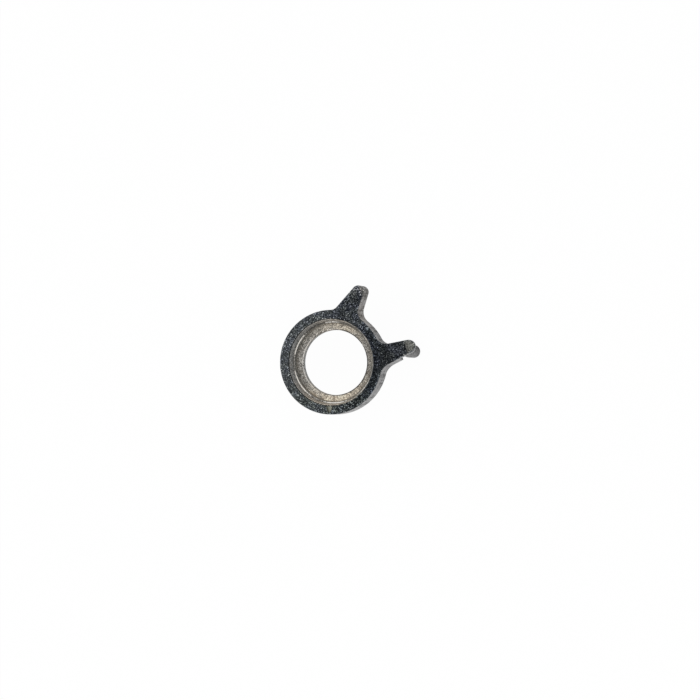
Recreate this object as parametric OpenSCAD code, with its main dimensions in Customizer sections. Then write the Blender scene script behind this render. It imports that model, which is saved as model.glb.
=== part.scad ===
// Watch click: a ring with a beak and a tail, turning on a stepped seat ring, with a stud under the tail.
// Millimetres. +Z is the turning axis, and z = 0 is the face of the seat ring that sits on the bridge.

/* [Body] */
// Outer radius of the body's ring
body_r = 1.6; // [1.52:0.01:1.75]
// Thickness of the body
body_t = 0.835; // [0.74:0.005:1.0]

/* [Beak] */
// Distance of the beak's tip centre from the turning axis
beak_reach = 2.317; // [2.2:0.001:2.45]
// Direction of the beak's tip centre, in degrees from +X
beak_angle = 68.7; // [66:0.1:72]
// Radius of the beak's rounded tip
beak_tip_r = 0.185; // [0.16:0.005:0.25]
// Distance of the centre of the beak's root circle from the turning axis
beak_root_reach = 1.128; // [1.05:0.005:1.2]
// Direction of the centre of the beak's root circle
beak_root_angle = 78; // [76:0.1:80]
// Radius of the beak's root circle, which sets how wide the beak grows
beak_root_r = 0.422; // [0.38:0.002:0.45]

/* [Tail] */
// Distance of the tail's tip centre from the turning axis
tail_reach = 2.46; // [2.36:0.002:2.54]
// Direction of the tail's tip centre, in degrees from +X
tail_angle = 11; // [9.5:0.1:12.5]
// Radius of the tail's rounded tip
tail_tip_r = 0.205; // [0.19:0.005:0.26]
// Distance of the centre of the tail's root circle from the turning axis
tail_root_reach = 1.128; // [1.05:0.002:1.2]
// Direction of the centre of the tail's root circle
tail_root_angle = 1.5; // [-0.5:0.1:3]
// Radius of the tail's root circle
tail_root_r = 0.396; // [0.36:0.002:0.44]
// Thickness left at the tail's tip, where it is thinned from below for the stud
tail_tip_t = 0.24; // [0.22:0.01:0.36]
// Gap between the stud and the step where the thinned part starts
step_gap = 0.035; // [0.02:0.005:0.06]
// Length of the ramp ground on top of the tail's tip
ramp_len = 0.27; // [0.15:0.01:0.32]
// Height that the ramp takes off at the very tip
ramp_drop = 0.09; // [0.04:0.01:0.11]

/* [Fillets] */
// Radius of the two fillets between the horns
inner_fillet_r = 0.36; // [0.2:0.01:0.45]
// Radius of the fillet on the beak's outer side
beak_fillet_r = 0.27; // [0.2:0.01:0.45]
// Radius of the fillet on the tail's outer side
tail_fillet_r = 0.48; // [0.25:0.01:0.6]

/* [Notch] */
// Direction of the notch in the top face
notch_angle = -91.3; // [-110:0.1:-70]
// Width of the notch, which has a round end
notch_w = 0.19; // [0.12:0.01:0.24]
// Metal left between the notch's round end and the body's outer edge
notch_rim = 0.055; // [0.04:0.005:0.08]
// Depth of the notch
notch_depth = 0.05; // [0.03:0.01:0.08]

/* [Seat ring] */
// Radius of the journal, on which the body turns
journal_r = 1.24; // [1.2:0.005:1.26]
// How far the flange above the journal stands out past it
shoulder_w = 0.085; // [0.07:0.005:0.1]
// Height of the flange, measured down from the top face
flange_t = 0.53; // [0.48:0.01:0.6]
// How far the seat ring's upper end lies below the top face
seat_sink = 0.08; // [0.04:0.01:0.1]
// Width of the flange's rim at its upper end
rim_w = 0.02; // [0.015:0.001:0.03]
// How much narrower the mouth is at its foot than at the rim
mouth_taper = 0.055; // [0.03:0.005:0.07]
// Depth of the mouth's foot below the top face
mouth_depth = 0.42; // [0.36:0.01:0.46]
// Wall between the journal and the recess that takes the screw head
journal_wall = 0.045; // [0.04:0.005:0.07]
// Depth of the ledge below the top face
ledge_depth = 0.61; // [0.56:0.01:0.66]
// Radius of the through bore
bore_r = 1.0; // [0.9:0.005:1.05]
// Small chamfer on the seat ring's edges
seat_edge = 0.015; // [0.01:0.001:0.018]
// Chamfer between the ledge and the bore
lip_edge = 0.03; // [0.015:0.005:0.05]

/* [Stud] */
// Distance of the stud from the turning axis
stud_reach = 2.288; // [2.26:0.002:2.34]
// Direction of the stud, in degrees from +X
stud_angle = 8.7; // [7.5:0.1:10]
// Radius of the stud
stud_r = 0.2; // [0.16:0.005:0.22]
// How far the stud stands out below the seat ring's lower face
stud_drop = 0.78; // [0.4:0.01:1.0]
// Radius of the stud where it meets the tail; it narrows towards it from the seat ring's lower face
neck_r = 0.15; // [0.13:0.005:0.155]
// Radius of the stud's tapered tenon at its root; the tenon is pressed into the tail
tenon_r = 0.1; // [0.07:0.005:0.12]
// How much narrower the tenon is at its end than at its root
tenon_taper = 0.012; // [0.008:0.001:0.02]
// Length of the stud's tenon
tenon_len = 0.12; // [0.08:0.01:0.13]
// Chamfer on the stud's free end
stud_edge = 0.03; // [0.01:0.005:0.05]

/* [Fits] */
// Radial clearance between the body and the seat ring
run_clear = 0.015; // [0.01:0.001:0.02]
// Clearance above and below the body along the axis
axial_play = 0.015; // [0.01:0.001:0.03]

/* [Hidden] */

// The seat ring's other radii follow from its journal
flange_r = journal_r + shoulder_w;
mouth_r = flange_r - rim_w;
mouth_foot_r = mouth_r - mouth_taper;
recess_r = journal_r - journal_wall;

// Narrow flats that round a horn's tip
tip_flats = 16;
// Facets of every round surface
round_facets = 180;
// A cut runs this far past the face that it opens
past = 0.1;

body_z = axial_play;
top_z = body_z + body_t;
flange_z = top_z - flange_t;
ledge_z = top_z - ledge_depth;
mouth_z = top_z - mouth_depth;
seat_top_z = top_z - seat_sink;
tail_under_z = top_z - tail_tip_t;
// How far the solid corners between ring and horns reach into both
corner_reach = 0.1;

function polar(r, a) = [r * cos(a), r * sin(a)];
function heading(p) = atan2(p[1], p[0]);

beak_tip = polar(beak_reach, beak_angle);
beak_root = polar(beak_root_reach, beak_root_angle);
tail_tip = polar(tail_reach, tail_angle);
tail_root = polar(tail_root_reach, tail_root_angle);
tail_heading = heading(tail_tip - tail_root);
stud_at = polar(stud_reach, stud_angle);
// How far behind the tail's tip centre the thinned part starts
tail_thin_back = (tail_tip - stud_at) * [cos(tail_heading), sin(tail_heading)] + stud_r + step_gap;

// The side of a horn is the line that touches its tip and root circles. side is 1 on the horn's left, -1 on
// its right, seen from above and looking along the horn.
function side_heading(tip, tip_r, root, root_r, side) =
    heading(tip - root) - side * asin((root_r - tip_r) / norm(tip - root));

// Unit vector square to a side, pointing out of the horn; a is the side's heading
function side_normal(a, side) = [-side * sin(a), side * cos(a)];

// Centre of the fillet that touches the ring and one side of a horn
function fillet_centre(tip, tip_r, a, side, r) =
    let (
        n = side_normal(a, side),
        d = n * tip + tip_r + r
    )
    n * d + [cos(a), sin(a)] * sqrt(pow(body_r + r, 2) - d * d);

// A disc of the body's thickness
module disc(r) {
    translate([0, 0, body_z])
        cylinder(h = body_t, r = r, $fn = round_facets);
}

// A horn's tip is rounded by narrow flats between its two sides
module horn(tip, tip_r, root, root_r) {
    left = side_heading(tip, tip_r, root, root_r, 1);
    right = side_heading(tip, tip_r, root, root_r, -1);
    left_n = side_normal(left, 1);
    right_n = side_normal(right, -1);
    translate([0, 0, body_z])
        linear_extrude(height = body_t)
            polygon(concat(
                [root + root_r * left_n, root + root_r * right_n],
                [for (i = [0:tip_flats]) tip + polar(tip_r, right - 90 + (left - right + 180) * i / tip_flats)]
            ));
}

// Solid corner between the ring and one side of a horn, which the fillet is then cut from
module corner(tip, tip_r, root, root_r, side, r) {
    a = side_heading(tip, tip_r, root, root_r, side);
    n = side_normal(a, side);
    c = fillet_centre(tip, tip_r, a, side, r);
    on_ring = c * body_r / (body_r + r);
    on_horn = c - n * r;
    translate([0, 0, body_z])
        linear_extrude(height = body_t)
            polygon([
                on_ring * (1 - corner_reach / body_r),
                on_ring,
                c,
                on_horn,
                on_horn - n * corner_reach
            ]);
}

// The post that cuts the fillet out of its corner
module fillet_cut(tip, tip_r, root, root_r, side, r) {
    a = side_heading(tip, tip_r, root, root_r, side);
    translate(fillet_centre(tip, tip_r, a, side, r))
        translate([0, 0, body_z - past])
            cylinder(h = body_t + 2 * past, r = r, $fn = round_facets);
}

// The body's bore: wide for the seat ring's flange, narrower for its journal
module seat_cut() {
    shoulder_z = flange_z - axial_play;
    rotate_extrude($fn = round_facets)
        polygon([
            [0, -past],
            [journal_r + run_clear, -past],
            [journal_r + run_clear, shoulder_z],
            [flange_r + run_clear, shoulder_z],
            [flange_r + run_clear, top_z + past],
            [0, top_z + past]
        ]);
}

// A shallow slot in the top face, open to the seat and round at its outer end
module notch_cut() {
    mouth = flange_r + run_clear;
    round_at = body_r - notch_rim - notch_w / 2;
    rotate([0, 0, notch_angle]) {
        translate([mouth - past, -notch_w / 2, top_z - notch_depth])
            cube([round_at - mouth + past, notch_w, notch_depth + past]);
        translate([round_at, 0, top_z - notch_depth])
            cylinder(h = notch_depth + past, r = notch_w / 2, $fn = round_facets);
    }
}

// Under the tail's tip, the metal is taken away up to the thinned part
module tail_thin_cut() {
    length = tail_thin_back + tail_tip_r + stud_r;
    width = 4 * tail_tip_r + 2 * stud_r;
    translate(tail_tip)
        rotate([0, 0, tail_heading])
            translate([-tail_thin_back, -width / 2, body_z - past])
                cube([length, width, tail_under_z - body_z + past]);
}

// The tapered hole for the stud's tenon
module tenon_cut() {
    wider = tenon_taper * past / tenon_len;
    translate([stud_at[0], stud_at[1], tail_under_z - past])
        cylinder(h = past + tenon_len, r1 = tenon_r + wider, r2 = tenon_r - tenon_taper, $fn = round_facets);
}

// The ramp on top of the tail's tip
module tail_ramp_cut() {
    slope = atan(ramp_drop / ramp_len);
    width = 4 * tail_tip_r;
    translate(tail_tip)
        rotate([0, 0, tail_heading])
            translate([tail_tip_r - ramp_len, -width / 2, top_z])
                rotate([0, slope, 0])
                    cube([2 * ramp_len, width, 2 * ramp_drop + past]);
}

module click_body() {
    color([0.3, 0.31, 0.33])
        difference() {
            union() {
                disc(body_r);
                horn(beak_tip, beak_tip_r, beak_root, beak_root_r);
                horn(tail_tip, tail_tip_r, tail_root, tail_root_r);
                corner(beak_tip, beak_tip_r, beak_root, beak_root_r, 1, beak_fillet_r);
                corner(beak_tip, beak_tip_r, beak_root, beak_root_r, -1, inner_fillet_r);
                corner(tail_tip, tail_tip_r, tail_root, tail_root_r, 1, inner_fillet_r);
                corner(tail_tip, tail_tip_r, tail_root, tail_root_r, -1, tail_fillet_r);
            }
            fillet_cut(beak_tip, beak_tip_r, beak_root, beak_root_r, 1, beak_fillet_r);
            fillet_cut(beak_tip, beak_tip_r, beak_root, beak_root_r, -1, inner_fillet_r);
            fillet_cut(tail_tip, tail_tip_r, tail_root, tail_root_r, 1, inner_fillet_r);
            fillet_cut(tail_tip, tail_tip_r, tail_root, tail_root_r, -1, tail_fillet_r);
            seat_cut();
            notch_cut();
            tail_thin_cut();
            tail_ramp_cut();
            tenon_cut();
        }
}

module seat_ring() {
    color([0.58, 0.55, 0.5])
        rotate_extrude($fn = round_facets)
            polygon([
                [bore_r, 0],
                [journal_r - seat_edge, 0],
                [journal_r, seat_edge],
                [journal_r, flange_z],
                [flange_r, flange_z],
                [flange_r, seat_top_z - seat_edge / 2],
                [flange_r - seat_edge / 2, seat_top_z],
                [mouth_r, seat_top_z],
                [mouth_foot_r, mouth_z],
                [recess_r + seat_edge, mouth_z],
                [recess_r, mouth_z - seat_edge],
                [recess_r, ledge_z],
                [bore_r + lip_edge, ledge_z],
                [bore_r, ledge_z - lip_edge]
            ]);
}

module tail_stud() {
    color([0.52, 0.52, 0.52])
        translate([stud_at[0], stud_at[1], 0])
            rotate_extrude($fn = round_facets)
                polygon([
                    [0, -stud_drop],
                    [stud_r - stud_edge, -stud_drop],
                    [stud_r, stud_edge - stud_drop],
                    [stud_r, 0],
                    [neck_r, tail_under_z],
                    [tenon_r, tail_under_z],
                    [tenon_r - tenon_taper, tail_under_z + tenon_len],
                    [0, tail_under_z + tenon_len]
                ]);
}

click_body();
seat_ring();
tail_stud();
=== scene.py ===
import math

import bmesh
import bpy
from mathutils import Matrix, Vector
from mathutils.geometry import delaunay_2d_cdt


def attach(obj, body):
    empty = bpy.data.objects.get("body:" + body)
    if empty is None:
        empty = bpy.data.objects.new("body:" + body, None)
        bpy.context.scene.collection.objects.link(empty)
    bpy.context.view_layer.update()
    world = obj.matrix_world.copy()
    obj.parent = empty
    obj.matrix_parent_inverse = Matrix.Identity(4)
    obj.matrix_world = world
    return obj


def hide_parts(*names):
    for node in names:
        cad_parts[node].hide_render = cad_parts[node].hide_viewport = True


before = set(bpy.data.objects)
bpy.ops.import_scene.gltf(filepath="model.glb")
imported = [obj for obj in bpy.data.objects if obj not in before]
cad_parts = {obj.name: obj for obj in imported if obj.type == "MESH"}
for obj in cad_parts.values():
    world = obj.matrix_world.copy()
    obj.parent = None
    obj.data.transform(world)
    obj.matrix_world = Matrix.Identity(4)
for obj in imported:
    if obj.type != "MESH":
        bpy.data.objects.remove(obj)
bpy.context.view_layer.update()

# Metres in a millimetre
MM = 0.001

# Sizes in millimetres, as in the part's source; places are a distance and an angle
BODY_R = 1.6
BODY_Z = 0.015
TOP_Z = 0.85
BEAK_TIP = (2.317, 68.7)
BEAK_TIP_R = 0.185
BEAK_ROOT = (1.128, 78.0)
BEAK_ROOT_R = 0.422
TAIL_TIP = (2.46, 11.0)
TAIL_TIP_R = 0.205
TAIL_ROOT = (1.128, 1.5)
TAIL_ROOT_R = 0.396
TAIL_TIP_T = 0.24
THIN_BACK = 0.42
RAMP_LEN = 0.27
RAMP_DROP = 0.09
INNER_FILLET_R = 0.36
BEAK_FILLET_R = 0.27
TAIL_FILLET_R = 0.48
NOTCH_ANGLE = -91.3
NOTCH_W = 0.19
NOTCH_RIM = 0.055
NOTCH_DEPTH = 0.05
FLANGE_R = 1.325
FLANGE_Z = 0.32
JOURNAL_R = 1.24
SEAT_TOP_Z = 0.77
MOUTH_R = 1.305
MOUTH_FOOT_R = 1.25
MOUTH_Z = 0.43
RECESS_R = 1.195
LEDGE_Z = 0.24
BORE_R = 1.0
RUN_CLEAR = 0.015
LIP_EDGE = 0.03
STUD = (2.288, 8.7)
STUD_R = 0.2
STUD_DROP = 0.78
STUD_EDGE = 0.03
STUD_NECK_R = 0.15

# Sizes that follow from them
MOUTH_SLOPE = (MOUTH_R - MOUTH_FOOT_R) / (SEAT_TOP_Z - MOUTH_Z)
TAIL_UNDER_Z = TOP_Z - TAIL_TIP_T
SHOULDER_Z = FLANGE_Z - RUN_CLEAR
BODY_BORE_R = JOURNAL_R + RUN_CLEAR
BODY_MOUTH_R = FLANGE_R + RUN_CLEAR

# Rounding of the body's edges, and the fillet where the tail's thinned part starts
OUTER_EDGE = 0.036
BEAK_EDGE = 0.09
LOWER_EDGE = 0.012
UNDER_FILLET = 0.05
# The beak's rounding is full this near to its tip's centre, and fades over the second distance
BEAK_EDGE_FULL = 0.2
BEAK_EDGE_FADE = 0.4

# Rounding of the seat ring's and the stud's edges, and of the body's bore
SEAT_EDGE = 0.012
FLANGE_EDGE = 0.008
SEAT_TOP_EDGE = 0.006
RECESS_EDGE = 0.014
LEDGE_EDGE = 0.01
LIP_FOOT_EDGE = 0.006
NECK_EDGE = 0.02
FINE_EDGE = 0.004

# Widths of the strips with painted highlights on the mouth's foot and on the step, and of the painted
# shade below the step
MOUTH_HIGHLIGHT = 0.06
STEP_HIGHLIGHT = 0.02
RECESS_SHADE = 0.022

# Width of the narrow strips that keep flat surfaces shaded flat
STRIP = 0.006
# Half the length of the curve that starts the ramp, and the lean of the step under the tail
RAMP_BLEND = 0.012
STEP_RUN = 0.004
# Where the body's top face starts at the bore
BORE_TOP_R = BODY_MOUTH_R + SEAT_EDGE + STRIP

# How finely round shapes are divided: degrees for the outline, counts for the others
HORN_STEP = 4
RING_STEP = 1.5
LOWER_EDGE_STEPS = 6
OUTER_EDGE_STEPS = 8
BORE_EDGE_STEPS = 3
BORE_STEPS = 236
NOTCH_SIDE_STEPS = 4
NOTCH_END_STEPS = 12
CORNER_STEPS = 4
SEAT_STEPS = 288
STUD_STEPS = 96
# Edges that turn by more degrees than this are shaded sharp
SHARP_ANGLE = 35

# Distances below which two points of the outline are one, and heights, levels and filled points the same
SAME_POINT = 1e-4
SAME_HEIGHT = 1e-6
SAME_LEVEL = 1e-9
SAME_FILLED = 1e-7

# Material slots of the body and of the seat ring
FACE, WALL, RAMP, NOTCH, RIM = range(5)
TURNED, LEDGE, STEP, CORNER, LIP, RECESS = range(6)

X = (1, 0, 0)
Y = (0, 1, 0)
Z = (0, 0, 1)
WHITE = (1, 1, 1, 1)


def polar(r, a):
    """The point at a distance and an angle in degrees."""
    return Vector((r * math.cos(math.radians(a)), r * math.sin(math.radians(a))))


def heading(p):
    """The angle of a direction, in degrees."""
    return math.degrees(math.atan2(p[1], p[0]))


def clamp(t):
    return min(1.0, max(0.0, t))


def smooth(t):
    """A soft step from 0 to 1."""
    t = clamp(t)
    return t * t * (3 - 2 * t)


def quarter(steps):
    """Sine and cosine at even steps from 0 to 90 degrees."""
    turns = [math.radians(90.0 * i / steps) for i in range(steps + 1)]
    return [(math.sin(a), math.cos(a)) for a in turns]


beak_tip = polar(*BEAK_TIP)
beak_root = polar(*BEAK_ROOT)
tail_tip = polar(*TAIL_TIP)
tail_root = polar(*TAIL_ROOT)
tail_along = (tail_tip - tail_root).normalized()
stud_at = polar(*STUD)


def arc(centre, r, a, b, step, bulge=1):
    """Points and outward normals on an arc; bulge is 1 where the metal is inside it, -1 where outside."""
    n = max(2, int(abs(b - a) / step))
    out = []
    for i in range(n + 1):
        d = polar(1, a + (b - a) * i / n)
        out.append((centre + r * d, bulge * d))
    return out


def fillet_centre(tip, tip_r, a, side, r):
    """Centre of a fillet between the ring and a horn's side at angle a; side is 1 left, -1 right."""
    n = Vector((-side * math.sin(math.radians(a)), side * math.cos(math.radians(a))))
    d = n.dot(tip) + tip_r + r
    return n * d + polar(1, a) * math.sqrt((BODY_R + r) ** 2 - d * d)


def horn(tip, tip_r, root, root_r, right_fillet, left_fillet):
    """Where the ring ends and starts beside a horn, and the horn's stretch of the outline."""
    h = heading(tip - root)
    s = math.degrees(math.asin((root_r - tip_r) / (tip - root).length))
    right, left = h + s, h - s
    rc = fillet_centre(tip, tip_r, right, -1, right_fillet)
    lc = fillet_centre(tip, tip_r, left, 1, left_fillet)
    points = arc(rc, right_fillet, heading(rc) + 180, right + 90, HORN_STEP, -1)
    points += arc(tip, tip_r, right - 90, left + 90, HORN_STEP)
    points += arc(lc, left_fillet, left + 270, heading(lc) + 180, HORN_STEP, -1)
    return heading(rc), heading(lc), points


# The tail lies beyond this x and below this y; elsewhere along_tail gives OFF_TAIL
TAIL_FROM_X = 1.65
TAIL_TO_Y = 1.0
OFF_TAIL = -9.0


def along_tail(p):
    """How far a point lies beyond the tail's tip centre, along the tail."""
    if p[0] < TAIL_FROM_X or p[1] > TAIL_TO_Y:
        return OFF_TAIL
    return (p - tail_tip).dot(tail_along)


# Along the tail: where the ramp and the thinned part start, and where lines across it hold its heights
ramp_at = TAIL_TIP_R - RAMP_LEN
thin_at = -THIN_BACK
levels = [thin_at - STEP_RUN, thin_at, ramp_at - RAMP_BLEND, ramp_at, ramp_at + RAMP_BLEND]
for turn in (20, 40, 60, 75, 90):
    levels.append(thin_at + UNDER_FILLET * (1 - math.cos(math.radians(turn))) + STEP_RUN / 2)
levels.sort()


def top_height(u):
    """Height of the top face at a distance along the tail."""
    slope = RAMP_DROP / RAMP_LEN
    if u <= ramp_at - RAMP_BLEND:
        return TOP_Z
    if u < ramp_at + RAMP_BLEND:
        return TOP_Z - slope * (u - ramp_at + RAMP_BLEND) ** 2 / (4 * RAMP_BLEND)
    return TOP_Z - slope * (u - ramp_at)


def under_height(u):
    """Height of the lower face at a distance along the tail, with the fillet where it steps up."""
    if u <= thin_at - STEP_RUN / 2:
        return BODY_Z
    c = 1 - (u - thin_at) / UNDER_FILLET
    if c >= 1:
        return TAIL_UNDER_Z - UNDER_FILLET
    if c <= 0:
        return TAIL_UNDER_Z
    return TAIL_UNDER_Z - UNDER_FILLET + UNDER_FILLET * math.sqrt(1 - c * c)


def edge_size(p, usual):
    """Rounding of an edge at a point of the outline: larger round the beak's tip."""
    beyond = (p - beak_tip).length - BEAK_EDGE_FULL
    return usual + (BEAK_EDGE - usual) * smooth(1 - beyond / BEAK_EDGE_FADE)


def body_outline():
    """The outline's points, each with its outward normal and its distance along the tail."""
    t0, t1, tail = horn(tail_tip, TAIL_TIP_R, tail_root, TAIL_ROOT_R, TAIL_FILLET_R, INNER_FILLET_R)
    b0, b1, beak = horn(beak_tip, BEAK_TIP_R, beak_root, BEAK_ROOT_R, INNER_FILLET_R, BEAK_FILLET_R)
    axis = Vector((0, 0))
    loop = tail + arc(axis, BODY_R, t1, b0, RING_STEP) + beak + arc(axis, BODY_R, b1, t0 + 360, RING_STEP)
    clean = []
    for p, n in loop:
        if not clean or (p - clean[-1][0]).length > SAME_POINT:
            clean.append((p, n))
    if (clean[0][0] - clean[-1][0]).length < SAME_POINT:
        clean.pop()
    out = []
    for i, (p, n) in enumerate(clean):
        q, m = clean[(i + 1) % len(clean)]
        u, v = along_tail(p), along_tail(q)
        out.append((p, n, u))
        if OFF_TAIL in (u, v):
            continue
        # Points where the outline crosses a level
        near = SAME_POINT / 10
        crossed = [w for w in levels if min(u, v) + near < w < max(u, v) - near]
        for w in sorted(crossed, reverse=u > v):
            t = (w - u) / (v - u)
            out.append((p.lerp(q, t), n.lerp(m, t).normalized(), w))
    return out


# Half the notch's width at the seat ring and at its round end: it narrows outwards round its mean width
NOTCH_AT_SEAT = NOTCH_W * 0.62
NOTCH_AT_END = NOTCH_W * 0.3
NOTCH_ROUND_AT = BODY_R - NOTCH_RIM - NOTCH_AT_END
# Share of the half width over which the notch's sides slope
NOTCH_SLOPE = 0.4
notch_dir = polar(1, NOTCH_ANGLE)
notch_side = Vector((-notch_dir.y, notch_dir.x))
# Shares of the half width: lines on the sloped sides, and all points across the notch at the bore
notch_lines = [1 - NOTCH_SLOPE * k / NOTCH_SIDE_STEPS for k in range(NOTCH_SIDE_STEPS + 1)]
notch_across = [-q for q in notch_lines] + [-0.3, 0.0, 0.3] + notch_lines[::-1]


def notch_half(x):
    """Half the notch's width at a distance from the axis."""
    t = clamp((x - BODY_MOUTH_R) / (NOTCH_ROUND_AT - BODY_MOUTH_R))
    return NOTCH_AT_SEAT + (NOTCH_AT_END - NOTCH_AT_SEAT) * t


def inside_notch(p):
    """0 on the notch's outline, 1 in its middle and negative outside."""
    x, y = p.dot(notch_dir), p.dot(notch_side)
    if x < BORE_R:
        return -1.0
    if x < NOTCH_ROUND_AT:
        return 1 - abs(y) / notch_half(x)
    return 1 - math.hypot(x - NOTCH_ROUND_AT, y) / NOTCH_AT_END


def groove_height(p):
    """Height of the top face or of the notch over a point."""
    return TOP_Z - NOTCH_DEPTH * smooth(inside_notch(p) / NOTCH_SLOPE)


def notch_turn(share):
    """The angle at the bore of a share of the notch's half width, from the notch's middle."""
    return math.degrees(math.asin(share * NOTCH_AT_SEAT / BODY_MOUTH_R))


# Angles of the points round the bore: first those across the notch, then the rest of the way round
bore_angles = [NOTCH_ANGLE + notch_turn(q) for q in notch_across]
rest_of_turn = 360 - 2 * notch_turn(1)
for step in range(1, BORE_STEPS):
    bore_angles.append(NOTCH_ANGLE + notch_turn(1) + rest_of_turn * step / BORE_STEPS)


def in_polygon(p, loop):
    inside = False
    j = loop[-1]
    for i in loop:
        if (i[1] > p[1]) != (j[1] > p[1]):
            if p[0] < (j[0] - i[0]) * (p[1] - i[1]) / (j[1] - i[1]) + i[0]:
                inside = not inside
        j = i
    return inside


def middle(points):
    """The mean of some points, seen from above."""
    return sum((Vector(p[:2]) for p in points), Vector((0, 0))) / len(points)


def fill(points, edges, outer, inner):
    """Triangles between the outer and the inner loop of points."""
    found = delaunay_2d_cdt([Vector(p) for p in points], edges, [], 0, SAME_FILLED)
    verts, faces, ids = found[0], found[2], found[3]
    out = []
    for f in faces:
        c = middle([verts[i] for i in f])
        if in_polygon(c, outer) and not in_polygon(c, inner):
            out.append([min(ids[i]) for i in f])
    return out


def build(name, verts, faces, slots, mats):
    """An object from points in millimetres; slots gives each face's material."""
    mesh = bpy.data.meshes.new(name)
    mesh.from_pydata([tuple(c * MM for c in v) for v in verts], [], faces)
    for m in mats:
        mesh.materials.append(m)
    for poly, s in zip(mesh.polygons, slots):
        poly.material_index = s
        poly.use_smooth = True
    bm = bmesh.new()
    bm.from_mesh(mesh)
    bmesh.ops.recalc_face_normals(bm, faces=bm.faces)
    open_edges = sum(1 for e in bm.edges if len(e.link_faces) != 2)
    bm.to_mesh(mesh)
    bm.free()
    if open_edges:
        raise RuntimeError("%s has %d open edges" % (name, open_edges))
    mesh.set_sharp_from_angle(angle=math.radians(SHARP_ANGLE))
    obj = bpy.data.objects.new(name, mesh)
    bpy.context.scene.collection.objects.link(obj)
    return obj


class Shell:
    """Points, faces and slots of a mesh that is made of closed loops of points."""

    def __init__(self):
        self.verts, self.faces, self.slots = [], [], []

    def ring(self, loop):
        """Adds a loop of points and returns the index of its first one."""
        start = len(self.verts)
        self.verts.extend(loop)
        return start

    def face(self, corners, slot):
        self.faces.append(corners)
        self.slots.append(slot)

    def bridge(self, a, b, count, slot):
        """Quads from the loop that starts at a to the one that starts at b, which it returns."""
        for i in range(count):
            j = (i + 1) % count
            self.face((a + i, a + j, b + j, b + i), slot)
        return b


def outer_wall(shell, outline):
    """The wall with its rounded edges; returns where the top and the lower face's loops start."""
    low_edge = [edge_size(p, LOWER_EDGE) for p, m, u in outline]
    top_edge = [edge_size(p, OUTER_EDGE) for p, m, u in outline]

    def loop(edge, height, inset, rise, strip_in=0.0, strip_up=0.0):
        """Inset from the outline and risen from a height, in shares of the rounding and a strip more."""
        out = []
        for (p, m, u), e in zip(outline, edge):
            out.append((*(p - m * (e * inset + strip_in)), height(u) + e * rise + strip_up))
        return out

    stack = [loop(low_edge, under_height, 1, 0, strip_in=STRIP)]
    stack += [loop(low_edge, under_height, 1 - s, 1 - c) for s, c in quarter(LOWER_EDGE_STEPS)]
    stack.append(loop(low_edge, under_height, 0, 1, strip_up=STRIP))
    stack.append(loop(top_edge, top_height, 0, -1, strip_up=-STRIP))
    # The first step of the top edge's rounding still looks like the wall
    rim_from = len(stack) + 2
    stack += [loop(top_edge, top_height, 1 - c, s - 1) for s, c in quarter(OUTER_EDGE_STEPS)]
    stack.append(loop(top_edge, top_height, 1, 0, strip_in=STRIP))
    starts = [shell.ring(points) for points in stack]
    for k in range(1, len(stack)):
        shell.bridge(starts[k - 1], starts[k], len(outline), RIM if k >= rim_from else WALL)
    return starts[-1], starts[0]


def bore_wall(shell):
    """The bore from the top down; returns where the top and the lower face's loops start."""
    count = len(bore_angles)
    top = [polar(BORE_TOP_R, a) for a in bore_angles]
    top_inner = last = shell.ring([(*p, groove_height(p)) for p in top])
    # The notch's depth at the bore
    drops = [groove_height(polar(BODY_MOUTH_R, a)) - TOP_Z for a in bore_angles]
    for s, c in quarter(BORE_EDGE_STEPS):
        r = BODY_MOUTH_R + SEAT_EDGE * (1 - s)
        z = TOP_Z - SEAT_EDGE * (1 - c)
        start = shell.ring([(*polar(r, a), z + drop) for a, drop in zip(bore_angles, drops)])
        last = shell.bridge(last, start, count, RIM)
    for r, z, slot in (
        (BODY_MOUTH_R, SHOULDER_Z, RIM),
        (BODY_BORE_R, SHOULDER_Z, WALL),
        (BODY_BORE_R, BODY_Z + SEAT_EDGE, WALL),
        (BODY_BORE_R + SEAT_EDGE, BODY_Z, WALL),
        (BODY_BORE_R + SEAT_EDGE + STRIP, BODY_Z, WALL),
    ):
        start = shell.ring([(*polar(r, a), z) for a in bore_angles])
        last = shell.bridge(last, start, count, slot)
    return top_inner, last


def loop_edges(start, count):
    return [(start + i, start + (i + 1) % count) for i in range(count)]


def lines_across(outline):
    """Pairs of the outline's points, which hold the tail's heights across it."""
    pairs = []
    for w in levels:
        hit = [i for i, (p, m, u) in enumerate(outline) if abs(u - w) < SAME_LEVEL]
        if len(hit) == 2:
            pairs.append(tuple(hit))
    return pairs


def notch_net(bore_at):
    """Points and edges of the lines round the notch; bore_at is the index of the bore's first point."""
    base = bore_at + len(bore_angles)
    along = [BORE_TOP_R + (NOTCH_ROUND_AT - BORE_TOP_R) * t for t in (0.35, 0.7, 1.0)]
    points, edges = [], []
    for k, q in enumerate(notch_lines):
        start = len(points)
        points += [notch_dir * x - notch_side * q * notch_half(x) for x in along]
        for i in range(1, NOTCH_END_STEPS):
            a = math.pi * (i / NOTCH_END_STEPS - 0.5)
            turn = notch_dir * math.cos(a) + notch_side * math.sin(a)
            points.append(notch_dir * NOTCH_ROUND_AT + turn * q * NOTCH_AT_END)
        points += [notch_dir * x + notch_side * q * notch_half(x) for x in reversed(along)]
        end = len(points) - 1
        edges += [(base + i, base + i + 1) for i in range(start, end)]
        edges += [(bore_at + k, base + start), (bore_at + len(notch_across) - 1 - k, base + end)]
    return points, edges


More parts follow.
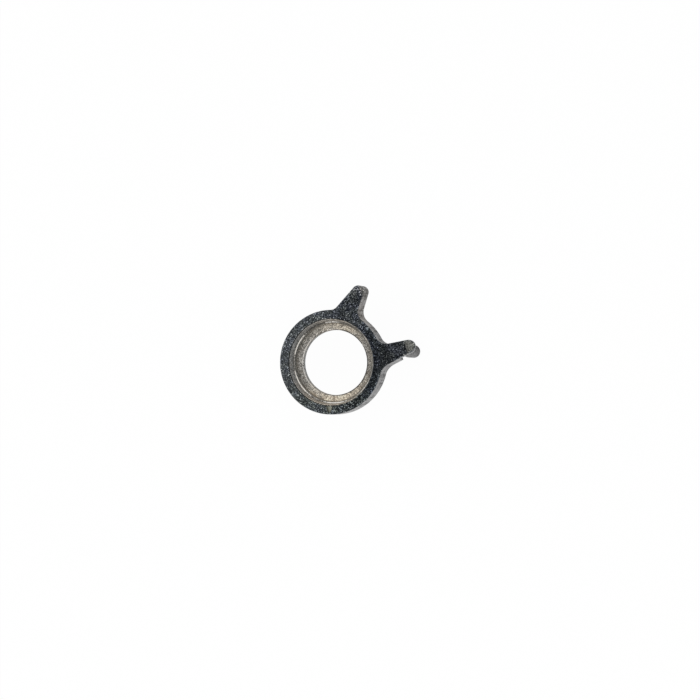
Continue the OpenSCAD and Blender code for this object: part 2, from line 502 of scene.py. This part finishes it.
def cap(shell, outline, outer, inner, slot_of, extra=(), extra_edges=()):
    """The face between the outline's and the bore's loop; slot_of gives a slot from corners."""
    n, m = len(outline), len(bore_angles)
    first = shell.ring([(*q, groove_height(q)) for q in extra])
    index = list(range(outer, outer + n)) + list(range(inner, inner + m))
    index += range(first, first + len(extra))
    points = [shell.verts[i][:2] for i in index]
    edges = loop_edges(0, n) + loop_edges(n, m) + lines_across(outline) + list(extra_edges)
    for f in fill(points, edges, points[:n], points[n : n + m]):
        shell.face([index[i] for i in f], slot_of([shell.verts[index[i]] for i in f]))


def top_slot(corners):
    """The notch, the tail's ramp or the flat face."""
    c = middle(corners)
    if groove_height(c) < TOP_Z - SAME_HEIGHT:
        return NOTCH
    return RAMP if along_tail(c) > ramp_at else FACE


def lower_slot(corners):
    """The flat face, or the step under the tail and what lies beyond it."""
    return WALL if max(z for x, y, z in corners) > BODY_Z + SAME_HEIGHT else FACE


def build_click_body(mats):
    outline = body_outline()
    shell = Shell()
    top_outer, low_outer = outer_wall(shell, outline)
    top_inner, low_inner = bore_wall(shell)
    points, edges = notch_net(len(outline))
    cap(shell, outline, top_outer, top_inner, top_slot, points, edges)
    cap(shell, outline, low_outer, low_inner, lower_slot)
    return build("click_lever", shell.verts, shell.faces, shell.slots, mats)


def rounded(profile, closed=True):
    """Rounds the corners of a profile of (r, z, rounding, slot), and returns (r, z, slot) points."""
    out = []
    count = len(profile)
    for i, (r, z, e, s) in enumerate(profile):
        p = Vector((r, z))
        if not e or (not closed and i in (0, count - 1)):
            out.append((r, z, s))
            continue
        a = (Vector(profile[i - 1][:2]) - p).normalized()
        b = (Vector(profile[(i + 1) % count][:2]) - p).normalized()
        out.append((*(p + a * (e + STRIP / 2)), profile[i - 1][3]))
        for k in range(CORNER_STEPS + 1):
            t = k / CORNER_STEPS
            q = p + a * e * (1 - t) ** 2 + b * e * t**2
            out.append((q.x, q.y, s))
        out.append((*(p + b * (e + STRIP / 2)), s))
    return out


def lathe(name, profile, centre, segments, mats, closed=True):
    """Turns a profile about a vertical axis; an open profile starts and ends on the axis."""
    verts, faces, slots = [], [], []
    rows = []
    for r, z, _slot in profile:
        if r == 0:
            rows.append([len(verts)] * segments)
            verts.append((centre.x, centre.y, z))
            continue
        rows.append(list(range(len(verts), len(verts) + segments)))
        for k in range(segments):
            a = 2 * math.pi * k / segments
            verts.append((centre.x + r * math.cos(a), centre.y + r * math.sin(a), z))
    count = len(profile)
    for i in range(count if closed else count - 1):
        a, b = rows[i], rows[(i + 1) % count]
        for k in range(segments):
            j = (k + 1) % segments
            quad = [a[k], a[j], b[j], b[k]]
            face = [v for q, v in enumerate(quad) if v not in quad[:q]]
            if len(face) > 2:
                faces.append(face)
                slots.append(profile[i][2])
    return build(name, verts, faces, slots, mats)


class Tree:
    """A short way to write shader nodes."""

    def __init__(self, owner, empty=True):
        owner.use_nodes = True
        self.tree = owner.node_tree
        if empty:
            self.tree.nodes.clear()

    def add(self, kind, **values):
        node = self.tree.nodes.new(kind)
        for key, value in values.items():
            setattr(node, key, value)
        return node

    def link(self, a, b):
        self.tree.links.new(a, b)

    def value(self, socket, value):
        """Links another node's output to a socket, or gives the socket a plain value."""
        if hasattr(value, "links"):
            self.link(value, socket)
        else:
            socket.default_value = value

    def math(self, op, a, b=0.0):
        node = self.add("ShaderNodeMath", operation=op)
        self.value(node.inputs[0], a)
        self.value(node.inputs[1], b)
        return node.outputs[0]

    def shader(self, kind, **inputs):
        node = self.add(kind)
        for key, value in inputs.items():
            self.value(node.inputs[key], value)
        return node.outputs[0]

    def surface(self, output, fac, a, b):
        """Ends the tree in shader a where fac is 0 and b where it is 1."""
        both = self.add("ShaderNodeMixShader")
        for socket, value in zip(both.inputs, (fac, a, b)):
            self.link(value, socket)
        self.link(both.outputs[0], self.add(output).inputs["Surface"])


class Nodes(Tree):
    """A metal's nodes; a texture's scale counts its features in a metre."""

    def __init__(self, name):
        self.mat = bpy.data.materials.new(name)
        super().__init__(self.mat, empty=False)
        self.bsdf = self.tree.nodes["Principled BSDF"]
        self.coord = self.add("ShaderNodeTexCoord").outputs["Object"]

    def stretched(self, scale):
        """The object's coordinates times a scale for each axis; a low one makes long marks."""
        node = self.add("ShaderNodeMapping")
        node.inputs["Scale"].default_value = scale
        self.link(self.coord, node.inputs["Vector"])
        return node.outputs["Vector"]

    def noise(self, scale, detail=2.0, rough=0.5, vector=None):
        node = self.add("ShaderNodeTexNoise")
        node.inputs["Scale"].default_value = scale
        node.inputs["Detail"].default_value = detail
        node.inputs["Roughness"].default_value = rough
        self.link(vector or self.coord, node.inputs["Vector"])
        return node.outputs["Fac"]

    def cells(self, scale):
        """A random value from 0 to 1 for each cell of a fine grain."""
        node = self.add("ShaderNodeTexVoronoi")
        node.inputs["Scale"].default_value = scale
        self.link(self.coord, node.inputs["Vector"])
        split = self.add("ShaderNodeSeparateColor")
        self.link(node.outputs["Color"], split.inputs[0])
        return split.outputs[0]

    def vector_math(self, op, a, b=None):
        node = self.add("ShaderNodeVectorMath", operation=op)
        self.link(a, node.inputs[0])
        if b is not None:
            self.value(node.inputs[1], b)
        return node

    def axes(self):
        """The object's X, Y and Z, each by itself."""
        split = self.add("ShaderNodeSeparateXYZ")
        self.link(self.coord, split.inputs[0])
        return split.outputs

    def flat(self):
        """The object's coordinates without their height."""
        axes = self.axes()
        node = self.add("ShaderNodeCombineXYZ")
        self.link(axes["X"], node.inputs["X"])
        self.link(axes["Y"], node.inputs["Y"])
        return node.outputs[0]

    def radius(self):
        """The distance from the object's axis, in metres."""
        return self.vector_math("LENGTH", self.flat()).outputs["Value"]

    def along(self, direction, start, end):
        """0 to 1 from start to end along a direction, in millimetres from the origin."""
        scaled = [c / MM / (end - start) for c in direction]
        share = self.vector_math("DOT_PRODUCT", self.coord, scaled).outputs["Value"]
        return self.math("SUBTRACT", share, start / (end - start))

    def from_axis(self, start, end):
        """0 to 1 between two distances from the object's axis, in millimetres."""
        share = self.math("MULTIPLY", self.radius(), 1 / MM / (end - start))
        return self.math("SUBTRACT", share, start / (end - start))

    def round_the_axis(self, lobes, peak, wander):
        """A wave with so many lobes round the axis, from -1 to 1; peak is one lobe's direction."""
        axes = self.axes()
        turn = self.math("MULTIPLY", self.math("ARCTAN2", axes["Y"], axes["X"]), float(lobes))
        turn = self.math("SUBTRACT", turn, math.radians(peak * lobes))
        return self.math("COSINE", self.math("ADD", turn, wander))

    def round_marks(self, run):
        """Coordinates for turning marks round the object's axis; a larger run makes them shorter."""
        unit = self.vector_math("NORMALIZE", self.flat()).outputs["Vector"]
        slow = self.vector_math("SCALE", unit)
        slow.inputs["Scale"].default_value = run * MM
        depth = self.add("ShaderNodeCombineXYZ")
        self.link(self.math("ADD", self.radius(), self.axes()["Z"]), depth.inputs["Z"])
        return self.vector_math("ADD", slow.outputs["Vector"], depth.outputs[0]).outputs["Vector"]

    def centred(self, value):
        """A texture's value from -0.5 to 0.5."""
        return self.math("SUBTRACT", value, 0.5)

    def ramp(self, fac, *stops):
        """stops are (position, grey or colour)."""
        node = self.add("ShaderNodeValToRGB")
        self.link(fac, node.inputs["Fac"])
        ramp = node.color_ramp
        while len(ramp.elements) < len(stops):
            ramp.elements.new(0.5)
        for element, (at, c) in zip(ramp.elements, stops):
            element.position = at
            element.color = (c, c, c, 1) if isinstance(c, float) else (*c, 1)
        return node.outputs["Color"]

    def mix(self, fac, a, b, mode="MIX"):
        node = self.add("ShaderNodeMix", data_type="RGBA", blend_type=mode)
        self.value(node.inputs[0], fac)
        self.value(node.inputs[6], a)
        self.value(node.inputs[7], b)
        return node.outputs[2]

    def total(self, *terms):
        """Sum of (share, value) terms."""
        out = self.math("MULTIPLY", terms[0][1], terms[0][0])
        for share, value in terms[1:]:
            out = self.math("ADD", out, self.math("MULTIPLY", value, share))
        return out

    def times(self, colour, *shades):
        for shade in shades:
            colour = self.mix(1.0, colour, shade, "MULTIPLY")
        return colour

    def bump(self, height, strength, microns):
        node = self.add("ShaderNodeBump")
        node.inputs["Strength"].default_value = strength
        node.inputs["Distance"].default_value = microns * MM * MM
        self.link(height, node.inputs["Height"])
        self.link(node.outputs["Normal"], self.bsdf.inputs["Normal"])

    def finish(self, colour, metallic, roughness, tint=(0.6, 0.6, 0.6, 1)):
        """tint is how bright the metal is where it is seen at a low angle."""
        self.value(self.bsdf.inputs["Base Color"], colour)
        self.bsdf.inputs["Metallic"].default_value = metallic
        self.value(self.bsdf.inputs["Roughness"], roughness)
        self.value(self.bsdf.inputs["Specular Tint"], tint)
        return self.mat


def face_steel(name="face_steel", rim=False):
    """Dark, finely grained steel, painted darkest beside the tail as shade; rim adds painted edge
    highlights.
    """
    m = Nodes(name)
    grains = m.cells(50000)
    fine = m.noise(32000, 4.0, 0.7)
    cloud = m.noise(2200, 3.0, 0.6)
    hue = m.noise(5200, 3.0, 0.6)
    across = m.along(X, -BODY_R, 2.0)
    # Few light grains among many dark ones
    colour = m.ramp(
        grains,
        (0.0, (0.008, 0.009, 0.012)),
        (0.3, (0.016, 0.018, 0.022)),
        (0.55, (0.04, 0.043, 0.048)),
        (0.8, (0.1, 0.105, 0.109)),
        (0.92, (0.29, 0.295, 0.298)),
        (1.0, (0.6, 0.6, 0.6)),
    )
    shades = [
        m.ramp(fine, (0.36, 0.3), (0.5, 0.88), (0.64, 2.3)),
        m.ramp(cloud, (0.35, 0.74), (0.65, 1.28)),
        m.ramp(hue, (0.42, (0.95, 0.99, 1.08)), (0.58, (1.0, 1.04, 0.99))),
        # Painted shade: darker from left to right, darkest beside the tail
        m.ramp(across, (0.0, 1.2), (0.3, 1.0), (0.45, 0.84), (0.62, 0.6),
               (0.8, (0.21, 0.225, 0.26)), (0.92, 0.39), (1.0, 0.43)),
    ]
    # Painted light: lighter towards the ring's outer edge on the right
    right_part = m.ramp(m.along(X, 0.5, 1.1), (0.0, 0.0), (1.0, 1.0))
    outer_part = m.ramp(m.from_axis(1.38, 1.9), (0.0, 0.0), (0.35, 1.0), (0.6, 0.0))
    painted_light = m.ramp(
        m.along(Y, -BODY_R, BODY_R),
        (0.1, 1.6), (0.22, 1.75), (0.34, 1.15), (0.44, 1.0), (0.62, 1.0),
        (0.7, (2.45, 2.4, 2.25)), (0.81, (2.95, 2.9, 2.7)), (0.9, 1.1),
    )
    shades.append(m.mix(m.math("MULTIPLY", right_part, outer_part), WHITE, painted_light))
    # Bluer above and greener below
    downwards = m.along((0.1, -1, 0), 0.2, 1.3)
    shades.append(m.ramp(downwards, (0.0, (0.98, 1.0, 1.035)), (1.0, (0.985, 1.035, 0.99))))
    # Lighter towards the beak's tip
    tip = m.along((0.1, 1, 0), 2.05, 2.4)
    shades.append(m.ramp(tip, (0.15, 1.0), (0.9, (3.7, 3.45, 3.15))))
    if rim:
        # Painted highlight: the edge lighter towards the right
        shades.append(m.ramp(across, (0.4, 1.1), (0.61, 1.0), (0.72, 1.5), (0.85, 1.75), (0.93, 1.3)))
        # Painted highlight: lighter edge at the tail's tip
        shades.append(m.ramp(m.along(X, 2.25, 2.6), (0.0, 1.0), (0.35, (3.6, 3.4, 3.0))))
        # Painted highlight: warmer and lighter edge on the right of the beak's tip
        at_tip = m.ramp(tip, (0.15, 0.0), (0.6, 1.0))
        warm = m.ramp(m.along(X, 0.84, 0.98), (0.0, 1.0), (1.0, (1.9, 1.72, 1.45)))
        shades.append(m.mix(at_tip, WHITE, warm))
        # Painted light: a lighter, warmer edge of the bore
        shades.append(m.ramp(m.from_axis(1.3, 1.4), (0.4, (2.25, 2.2, 2.05)), (0.7, 1.0)))
    colour = m.times(colour, *shades)
    # Less contrast on the left
    even = m.ramp(m.along(X, -BODY_R, 0.4), (0.0, 0.36), (1.0, 0.0))
    colour = m.mix(even, colour, (0.061, 0.066, 0.065, 1))
    m.bump(m.total((0.6, grains), (0.4, fine)), 0.35, microns=6)
    return m.finish(colour, 0.9, m.ramp(fine, (0.3, 0.58), (0.7, 0.4)))


def wall_steel():
    """Machined walls with fine marks from face to face and a duller line along their middle."""
    m = Nodes("wall_steel")
    marks = m.noise(22000, 3.0, 0.65, m.stretched((1, 1, 0.12)))
    wide = m.noise(14000, 3.0, 0.65, m.stretched((1, 1, 0.07)))
    fine = m.noise(30000, 3.0, 0.6)
    cloud = m.noise(3000, 3.0, 0.6)
    mixed = m.total((0.5, marks), (0.5, fine))
    height = m.total((1.0, m.along(Z, 0.0, TOP_Z)), (0.3, m.centred(cloud)))
    lines = m.ramp(height, (0.0, 0.6), (0.12, 0.9), (0.37, 1.05), (0.5, 0.66), (0.63, 1.1), (0.9, 1.05),
                   (1.0, 0.9))
    # Painted light and shade: lightest on the side towards -Y, darker further towards +Y
    place = m.ramp(
        m.along(Y, -1.4, 2.2),
        (0.0, 1.3), (0.2, 1.02), (0.45, 0.95), (0.62, 0.84),
        (0.76, (0.92, 0.89, 0.86)), (0.9, (1.04, 1.02, 1.0)), (0.98, (0.84, 0.83, 0.81)),
    )
    tail = m.ramp(m.along(X, 1.5, 2.1), (0.0, 1.0), (1.0, 1.25))
    patches = m.ramp(cloud, (0.38, 0.88), (0.62, 1.12))
    mottles = m.ramp(m.noise(9500, 3.0, 0.6), (0.4, 0.74), (0.6, 1.28))
    base = m.ramp(mixed, (0.42, 0.19), (0.5, 0.23), (0.58, 0.28))
    low = m.ramp(m.total((0.7, wide), (0.3, fine)), (0.42, 0.38), (0.5, 0.91), (0.58, 1.0))
    m.bump(mixed, 0.3, microns=6)
    tint = m.times(low, lines, place, patches, mottles, tail)
    return m.finish(m.times(base, place, tail), 1.0, m.ramp(marks, (0.3, 0.34), (0.7, 0.48)), tint)


def ramp_steel():
    """Ground ramp at the tail's tip, mottled green-grey and darker where it starts."""
    m = Nodes("ramp_steel")
    marks = m.noise(26000, 3.0, 0.65)
    dark, usual, light = (0.08, 0.081, 0.073), (0.15, 0.151, 0.138), (0.26, 0.261, 0.243)
    colour = m.ramp(marks, (0.42, dark), (0.5, usual), (0.58, light))
    start = tail_tip.dot(tail_along) + ramp_at
    place = m.along((*tail_along, 0), start, start + 0.25)
    place = m.total((1.0, place), (0.5, m.centred(m.noise(9000))))
    colour = m.times(colour, m.ramp(place, (0.0, 0.5), (0.15, 0.7), (0.25, 1.15), (1.0, 1.05)))
    m.bump(marks, 0.3, microns=8)
    return m.finish(colour, 0.95, 0.42)


def notch_steel():
    """The notch's cut surface."""
    m = Nodes("notch_steel")
    marks = m.noise(24000, 3.0, 0.6)
    colour = m.ramp(marks, (0.36, (0.12, 0.12, 0.095)), (0.64, (0.32, 0.32, 0.27)))
    m.bump(marks, 0.2, microns=5)
    return m.finish(colour, 0.95, 0.4)


def seat_metal(name, cool, warm, bright, rough, contrast, streaks, right=1.0):
    """Turned metal with painted highlights: cool along one diameter, bright across it; right paints shade
    on its right.
    """
    m = Nodes(name)
    grains = m.cells(40000)
    fine = m.noise(36000, 4.0, 0.7)
    patch = m.noise(3000, 3.0, 0.6)
    # Painted highlight of the turning across one diameter, with painted light towards the lower right
    lobes = m.round_the_axis(2, 88, m.centred(patch))
    place = m.total((0.34, lobes), (0.16, m.along((0.8, -1, 0), 0.0, 1.1)), (0.9, patch))
    base = m.ramp(place, (0.05, cool), (0.45, warm), (0.95, bright))
    turning = m.noise(36000, 3.0, 0.6, m.round_marks(0.1))
    # Painted shade on the right side
    right_side = m.ramp(m.along(X, 0.2, 1.2), (0.0, 1.0), (1.0, right))
    speck = m.total((0.45 - streaks / 2, grains), (0.55 - streaks / 2, fine), (streaks, turning))
    low, high = 1 - 0.65 * contrast, 1 + 1.3 * contrast
    colour = m.times(base, m.ramp(speck, (0.3, low), (0.5, 0.92), (0.7, high)), right_side)
    # Brown stains
    stain = m.ramp(m.noise(6200, 2.5, 0.6), (0.58, 0.0), (0.7, 0.6))
    colour = m.mix(stain, colour, (0.13, 0.095, 0.07, 1))
    m.bump(speck, 0.3, microns=6)
    return m.finish(colour, 0.9, rough)


def highlight_metal(name, share, side, down, dull):
    """Narrow edges with a painted highlight in six stretches round the ring, dull between them.

    share is how much the stretches count, and side how much the painted light on the left and, times down,
    the lower side.
    """
    m = Nodes(name)
    wander = m.noise(1400)
    # Painted highlight in six stretches round the ring, with painted light on the left
    lobes = m.round_the_axis(6, 212, m.math("MULTIPLY", m.centred(wander), 3.0))
    breaks = m.noise(8000)
    beads = m.noise(30000, 2.0, 0.6)
    left = m.along((-1, -down, 0), 0.0, 1.2)
    painted_light = m.math("MULTIPLY", m.total((share, lobes), (side, left), (0.9, breaks), (1.8, beads)), 0.5)
    dark = tuple(c * dull for c in (0.14, 0.132, 0.118))
    usual = tuple(c * dull for c in (0.25, 0.24, 0.22))
    colour = m.ramp(m.math("SUBTRACT", painted_light, 0.15), (0.25, dark), (0.48, usual), (0.68, (0.98, 0.95, 0.9)))
    m.bump(beads, 0.2, microns=5)
    return m.finish(colour, 1.0, m.ramp(painted_light, (0.4, 0.45), (0.7, 0.18)))


def stud_steel():
    """Turned stud, darker towards its free end, with painted shade on its outer side."""
    m = Nodes("stud_steel")
    marks = m.noise(34000, 3.0, 0.6, m.stretched((0.3, 0.3, 1)))
    fine = m.noise(24000, 4.0, 0.65)
    mixed = m.total((0.5, marks), (0.5, fine))
    outwards = (0.6, 0.8)
    at = stud_at.dot(Vector(outwards))
    across = m.along((*outwards, 0), at - STUD_R, at + STUD_R)
    shades = [
        m.ramp(m.along(Z, -STUD_DROP, TAIL_UNDER_Z), (0.0, 0.75), (0.06, 0.85), (0.3, 0.92), (0.6, 1.0)),
        # Painted light and shade: lighter on the lower left side, darker on the outer side
        m.ramp(across, (0.0, 1.25), (0.45, 0.97), (0.75, 0.92), (1.0, 0.7)),
    ]
    base = m.ramp(mixed, (0.43, 0.145), (0.5, 0.18), (0.57, 0.225))
    low = m.ramp(mixed, (0.43, 0.48), (0.5, 0.72), (0.57, 0.95))
    m.bump(mixed, 0.25, microns=6)
    return m.finish(m.times(base, *shades), 1.0, 0.4, m.times(low, *shades))


# The click's body
body_mats = [face_steel(), wall_steel(), ramp_steel(), notch_steel(), face_steel("edge_steel", True)]
lever = build_click_body(body_mats)
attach(lever, "click")
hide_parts("click_body")

# The seat ring: turned walls and a mottled ledge with painted highlights, edges with painted highlights
# and painted shade, and the recess's wall painted lighter
seat_mats = [
    seat_metal(
        "seat_turned",
        cool=(0.235, 0.236, 0.23), warm=(0.285, 0.27, 0.247), bright=(0.5, 0.445, 0.375),
        rough=0.42, contrast=1.0, streaks=0.35,
    ),
    seat_metal(
        "seat_ledge",
        cool=(0.31, 0.298, 0.275), warm=(0.32, 0.3, 0.264), bright=(0.62, 0.54, 0.43),
        rough=0.3, contrast=1.0, streaks=0.2, right=0.72,
    ),
    # Painted highlight on the mouth's foot and the step
    highlight_metal("seat_step_highlight", share=0.5, side=0.35, down=0.8, dull=1.0),
    # Painted shade along the step's inner edge and the top of the recess wall
    seat_metal(
        "seat_corner",
        cool=(0.15, 0.147, 0.134), warm=(0.19, 0.175, 0.15), bright=(0.25, 0.22, 0.18),
        rough=0.5, contrast=0.7, streaks=0.4,
    ),
    # Painted highlight on the lip's edge
    highlight_metal("seat_lip", share=0.2, side=0.55, down=0.0, dull=0.45),
    # The recess's wall painted lighter, as painted light
    seat_metal(
        "seat_recess",
        cool=(0.41, 0.395, 0.365), warm=(0.42, 0.39, 0.345), bright=(0.7, 0.61, 0.49),
        rough=0.35, contrast=0.8, streaks=0.3,
    ),
]
seat_profile = rounded(
    [
        (BORE_R, 0.0, SEAT_EDGE, TURNED),
        (JOURNAL_R, 0.0, SEAT_EDGE, TURNED),
        (JOURNAL_R, FLANGE_Z, FINE_EDGE, TURNED),
        (FLANGE_R, FLANGE_Z, FLANGE_EDGE, TURNED),
        (FLANGE_R, SEAT_TOP_Z, SEAT_TOP_EDGE, TURNED),
        (MOUTH_R, SEAT_TOP_Z, SEAT_TOP_EDGE, TURNED),
        (MOUTH_FOOT_R + MOUTH_SLOPE * MOUTH_HIGHLIGHT, MOUTH_Z + MOUTH_HIGHLIGHT, 0, STEP),
        (MOUTH_FOOT_R, MOUTH_Z, FINE_EDGE, STEP),
        (MOUTH_FOOT_R - STEP_HIGHLIGHT, MOUTH_Z, 0, CORNER),
        (RECESS_R, MOUTH_Z, RECESS_EDGE, CORNER),
        (RECESS_R, MOUTH_Z - RECESS_SHADE, 0, RECESS),
        (RECESS_R, LEDGE_Z, LEDGE_EDGE, LEDGE),
        (BORE_R + LIP_EDGE, LEDGE_Z, FINE_EDGE, LIP),
        (BORE_R, LEDGE_Z - LIP_EDGE, LIP_FOOT_EDGE, TURNED),
    ]
)
seat = lathe("seat_ring_turned", seat_profile, Vector((0, 0)), SEAT_STEPS, seat_mats)
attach(seat, "seat")
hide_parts("seat_ring")

# The stud, with one material
stud_profile = rounded(
    [
        (0.0, -STUD_DROP, 0, 0),
        (STUD_R, -STUD_DROP, STUD_EDGE, 0),
        (STUD_R, 0.0, NECK_EDGE, 0),
        (STUD_NECK_R, TAIL_UNDER_Z, FINE_EDGE, 0),
        (0.0, TAIL_UNDER_Z, 0, 0),
    ],
    closed=False,
)
stud = lathe("spring_stud", stud_profile, stud_at, STUD_STEPS, [stud_steel()], closed=False)
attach(stud, "click")
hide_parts("tail_stud")

# Camera: where the photograph was taken from, worked out from the ring's edges
PHOTO_SIZE = 700
MM_PER_PIXEL = 0.03056
AIM_PIXEL = (330.48, 362.14)
TILT_X = math.radians(13.17)
TILT_Y = math.radians(-1.01)
CAMERA_D = 100.0
SENSOR_W = 36
back = Vector((math.sin(TILT_X) * math.cos(TILT_Y), math.sin(TILT_Y), math.cos(TILT_X) * math.cos(TILT_Y)))
right = Vector((math.cos(TILT_X), 0, -math.sin(TILT_X)))
up = back.cross(right)
shift_x = (AIM_PIXEL[0] - PHOTO_SIZE / 2) * MM_PER_PIXEL
shift_y = (PHOTO_SIZE / 2 - AIM_PIXEL[1]) * MM_PER_PIXEL
place = Vector((0, 0, TOP_Z)) + back * CAMERA_D - right * shift_x - up * shift_y
camera_data = bpy.data.cameras.new("camera")
camera_data.sensor_width = SENSOR_W
camera_data.lens = SENSOR_W * CAMERA_D / (PHOTO_SIZE * MM_PER_PIXEL)
camera_data.clip_start = 0.005
camera_data.clip_end = 5
camera = bpy.data.objects.new("camera", camera_data)
axes = Matrix((right, up, back)).transposed()
camera.matrix_world = Matrix.Translation(place * MM) @ axes.to_4x4()
bpy.context.scene.collection.objects.link(camera)
bpy.context.scene.camera = camera

# Floor just below the stud, white to the camera and in reflections, with a soft shadow
FLOOR_GAP = 0.004
FLOOR_HALF = 400
FLOOR_GREY = (0.92, 0.92, 0.92, 1)
FLOOR_GLOW = 0.965
floor_mesh = bpy.data.meshes.new("floor")
low = -(STUD_DROP + FLOOR_GAP)
square = ((-1, -1), (1, -1), (1, 1), (-1, 1))
corners = [Vector((x * FLOOR_HALF, y * FLOOR_HALF, low)) * MM for x, y in square]
floor_mesh.from_pydata(corners, [], [(0, 1, 2, 3)])
floor = bpy.data.objects.new("floor", floor_mesh)
bpy.context.scene.collection.objects.link(floor)
floor_mat = bpy.data.materials.new("floor")
nodes = Tree(floor_mat)
rays = nodes.add("ShaderNodeLightPath").outputs
seen = nodes.math("MAXIMUM", rays["Is Camera Ray"], rays["Is Glossy Ray"])
seen = nodes.math("MAXIMUM", seen, rays["Is Transmission Ray"])
pale = nodes.shader("ShaderNodeBsdfDiffuse", Color=FLOOR_GREY)
glow = nodes.shader("ShaderNodeEmission", Color=WHITE, Strength=1.0)
nodes.surface("ShaderNodeOutputMaterial", nodes.math("MULTIPLY", seen, FLOOR_GLOW), pale, glow)
floor_mesh.materials.append(floor_mat)

# World: soft light from everywhere, white behind the object
SOFT_LIGHT = 0.85
world = bpy.data.worlds.new("world")
bpy.context.scene.world = world
nodes = Tree(world)
rays = nodes.add("ShaderNodeLightPath").outputs
soft = nodes.shader("ShaderNodeBackground", Color=WHITE, Strength=SOFT_LIGHT)
white = nodes.shader("ShaderNodeBackground", Color=WHITE, Strength=1.0)
nodes.surface("ShaderNodeOutputWorld", rays["Is Camera Ray"], soft, white)


def area_light(name, place, size, watts):
    """A square soft lamp that faces the origin; its place and size are in millimetres."""
    data = bpy.data.lights.new(name, "AREA")
    data.shape = "SQUARE"
    data.size = size * MM
    data.energy = watts
    lamp = bpy.data.objects.new(name, data)
    lamp.location = Vector(place) * MM
    lamp.rotation_euler = (-Vector(place)).to_track_quat("-Z", "Y").to_euler()
    bpy.context.scene.collection.objects.link(lamp)


area_light("key", (5, -85, 60), size=50, watts=0.02)
area_light("fill", (-60, 40, 70), size=60, watts=0.008)

bpy.context.scene.view_settings.view_transform = "Standard"
